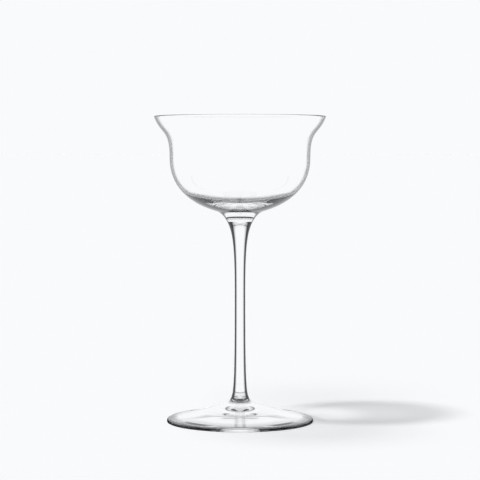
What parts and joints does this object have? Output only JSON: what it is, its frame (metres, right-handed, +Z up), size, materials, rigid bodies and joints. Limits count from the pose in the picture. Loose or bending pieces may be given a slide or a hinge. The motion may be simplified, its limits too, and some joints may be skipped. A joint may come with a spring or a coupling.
{
  "type": "champagne coupe",
  "caption": "Clear glass champagne coupe: a wide bowl with an upright wall and flared lip on a slim drawn stem and a shallow conical foot, for drinking sparkling wine.",
  "frame": {"origin": "on the glass's axis, in the plane of the table that the foot stands on", "axes": "+Z up along the axis of the stem, from the foot to the rim; +X and +Y are alike, because the glass is round"},
  "size_m": [0.0898, 0.0898, 0.16],
  "materials": {
    "bowl_glass": "clear, fire polished",
    "stem_glass": "clear, fire polished",
    "foot_glass": "clear, fire polished"
  },
  "bodies": {
    "root": {"bowl": "bowl_glass", "stem": "stem_glass", "foot": "foot_glass"}
  },
  "joints": []
}
